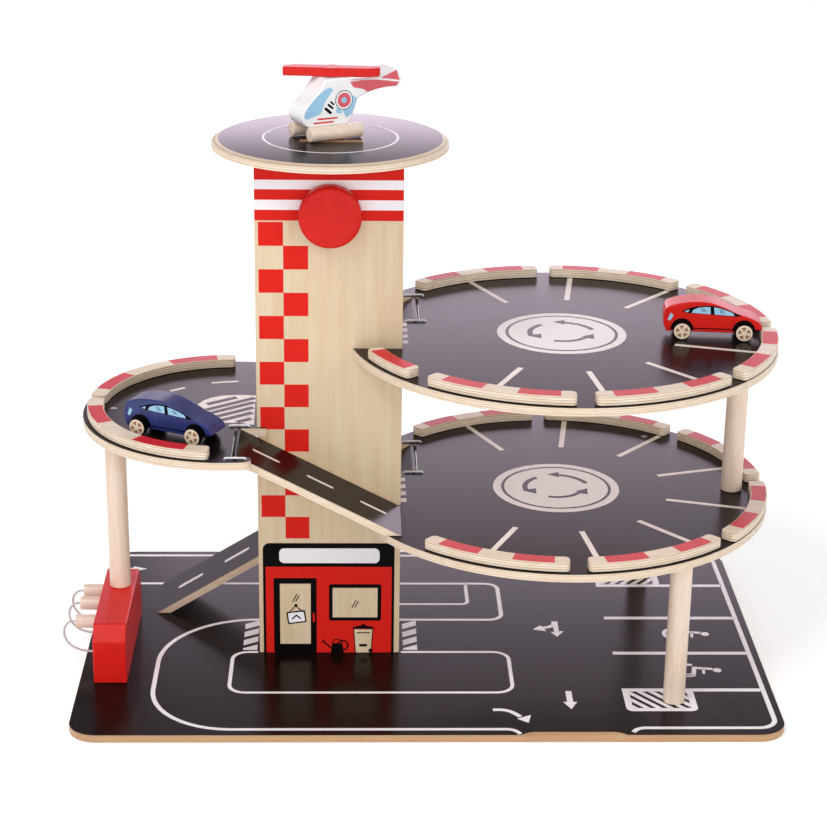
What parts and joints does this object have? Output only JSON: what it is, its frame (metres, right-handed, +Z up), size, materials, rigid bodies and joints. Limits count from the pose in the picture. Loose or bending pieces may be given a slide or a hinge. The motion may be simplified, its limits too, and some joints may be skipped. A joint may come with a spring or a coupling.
{
  "type": "toy parking garage",
  "caption": "Wooden toy parking garage: round decks on a lift tower with a winding knob, hinged ramps, a helipad, a fuel pump with hoses, toy cars and a helicopter.",
  "frame": {"origin": "centre of the base board's underside, on the surface the garage stands on", "axes": "+X to the right seen from the front, +Y to the back, +Z up"},
  "size_m": [0.6215, 0.376, 0.5259],
  "materials": {
    "black_painted_board": "satin",
    "printed_panel": "satin",
    "birch_plywood": "satin",
    "turned_beech": "satin",
    "red_paint": "gloss",
    "blue_paint": "gloss",
    "white_paint": "gloss",
    "steel_wire": "satin",
    "white_cord": "matte"
  },
  "bodies": {
    "root": {"base_board": "black_painted_board", "helipad": "black_painted_board", "lower_deck": "black_painted_board", "upper_deck": "black_painted_board", "half_deck": "black_painted_board", "tower_front_panel": "printed_panel", "tower_back_panel": "printed_panel", "tower_left_wall": "printed_panel", "tower_right_wall": "printed_panel", "lower_deck_rail_1": "birch_plywood", "lower_deck_rail_2": "birch_plywood", "lower_deck_rail_3": "birch_plywood", "lower_deck_rail_4": "birch_plywood", "lower_deck_rail_5": "birch_plywood", "lower_deck_rail_6": "birch_plywood", "upper_deck_rail_1": "birch_plywood", "upper_deck_rail_2": "birch_plywood", "upper_deck_rail_3": "birch_plywood", "upper_deck_rail_4": "birch_plywood", "upper_deck_rail_5": "birch_plywood", "upper_deck_rail_6": "birch_plywood", "upper_deck_rail_7": "birch_plywood", "half_deck_rail_1": "birch_plywood", "half_deck_rail_2": "birch_plywood", "front_post": "turned_beech", "back_post": "turned_beech", "side_post": "turned_beech", "pump_post": "turned_beech", "pump_block": "red_paint", "ground_hinge_pin": "steel_wire", "ground_hinge_staple_front": "steel_wire", "ground_hinge_staple_back": "steel_wire", "rear_hinge_pin": "steel_wire", "rear_hinge_staple_front": "steel_wire", "rear_hinge_staple_back": "steel_wire", "front_hinge_pin": "steel_wire", "front_hinge_staple_front": "steel_wire", "front_hinge_staple_back": "steel_wire", "hose_1": "white_cord", "hose_2": "white_cord", "hose_3": "white_cord"},
    "lift": {"lift_car": "birch_plywood"},
    "winding": {"winding_axle": "turned_beech", "knob": "red_paint"},
    "ground_ramp": {"ground_ramp": "black_painted_board"},
    "rear_ramp": {"rear_ramp": "black_painted_board"},
    "front_ramp": {"front_ramp": "black_painted_board"},
    "nozzle_1": {"nozzle_1": "turned_beech"},
    "nozzle_2": {"nozzle_2": "turned_beech"},
    "nozzle_3": {"nozzle_3": "turned_beech"},
    "red_car": {"red_car_body": "red_paint"},
    "red_rear_wheels": {"red_car_rear_wheels": "turned_beech"},
    "red_front_wheels": {"red_car_front_wheels": "turned_beech"},
    "blue_car": {"blue_car_body": "blue_paint"},
    "blue_rear_wheels": {"blue_car_rear_wheels": "turned_beech"},
    "blue_front_wheels": {"blue_car_front_wheels": "turned_beech"},
    "helicopter": {"helicopter_body": "white_paint", "helicopter_left_skid": "turned_beech", "helicopter_right_skid": "turned_beech"},
    "rotor": {"helicopter_rotor": "red_paint"}
  },
  "joints": [
    {"name": "lift_slide", "type": "slide", "parent": "root", "child": "lift", "axis": [0, 0, 1], "range_m": [0, 0.2827]},
    {"name": "knob_spin", "type": "hinge", "parent": "root", "child": "winding", "pos_m": [-0.0832, 0, 0.4112], "axis": [0, 1, 0], "range_deg": [-5, 1360]},
    {"name": "ground_ramp_hinge", "type": "hinge", "parent": "root", "child": "ground_ramp", "pos_m": [-0.009, 0.0772, 0.14725], "axis": [0, 1, 0], "range_deg": [0, 40]},
    {"name": "rear_ramp_hinge", "type": "hinge", "parent": "root", "child": "rear_ramp", "pos_m": [-0.009, 0.0772, 0.29075], "axis": [0, 1, 0], "range_deg": [0, 60]},
    {"name": "front_ramp_hinge", "type": "hinge", "parent": "root", "child": "front_ramp", "pos_m": [-0.161, -0.0713, 0.219], "axis": [0, -1, 0], "range_deg": [0, 45]},
    {"name": "nozzle_1_pull", "type": "slide", "parent": "root", "child": "nozzle_1", "axis": [-1, 0, 0], "range_m": [0, 0.012], "deforming": ["hose_1"]},
    {"name": "nozzle_2_pull", "type": "slide", "parent": "root", "child": "nozzle_2", "axis": [-1, 0, 0], "range_m": [0, 0.012], "deforming": ["hose_2"]},
    {"name": "nozzle_3_pull", "type": "slide", "parent": "root", "child": "nozzle_3", "axis": [-1, 0, 0], "range_m": [0, 0.012], "deforming": ["hose_3"]},
    {"name": "red_car_roll", "type": "slide", "parent": "root", "child": "red_car", "axis": [0.9952, -0.0976, 0], "range_m": [-0.04, 0]},
    {"name": "red_rear_wheel_spin", "type": "hinge", "parent": "red_car", "child": "red_rear_wheels", "pos_m": [0.2204, 0.0086, 0.302], "axis": [0.0976, 0.9952, 0], "range_deg": [-320, 0]},
    {"name": "red_front_wheel_spin", "type": "hinge", "parent": "red_car", "child": "red_front_wheels", "pos_m": [0.27325, 0.00342, 0.302], "axis": [0.0976, 0.9952, 0], "range_deg": [-320, 0]},
    {"name": "blue_car_roll", "type": "slide", "parent": "root", "child": "blue_car", "axis": [0.9026, -0.4305, 0], "range_m": [0, 0.018]},
    {"name": "blue_rear_wheel_spin", "type": "hinge", "parent": "blue_car", "child": "blue_rear_wheels", "pos_m": [-0.2384, -0.041, 0.23025], "axis": [0.4305, 0.9026, 0], "range_deg": [0, 160]},
    {"name": "blue_front_wheel_spin", "type": "hinge", "parent": "blue_car", "child": "blue_front_wheels", "pos_m": [-0.19047, -0.06386, 0.23025], "axis": [0.4305, 0.9026, 0], "range_deg": [0, 160]},
    {"name": "helicopter_lift_off", "type": "slide", "parent": "root", "child": "helicopter", "axis": [0, 0, 1], "range_m": [0, 0.06]},
    {"name": "rotor_spin", "type": "hinge", "parent": "helicopter", "child": "rotor", "pos_m": [-0.08246, 0.00483, 0.5182], "axis": [0, 0, 1], "continuous": true}
  ],
  "couplings": [
    {"joint": "knob_spin", "follows": "lift_slide", "rad_per_m": 83.333},
    {"joint": "red_rear_wheel_spin", "follows": "red_car_roll", "rad_per_m": 129.87},
    {"joint": "red_front_wheel_spin", "follows": "red_car_roll", "rad_per_m": 129.87},
    {"joint": "blue_rear_wheel_spin", "follows": "blue_car_roll", "rad_per_m": 129.87},
    {"joint": "blue_front_wheel_spin", "follows": "blue_car_roll", "rad_per_m": 129.87}
  ]
}
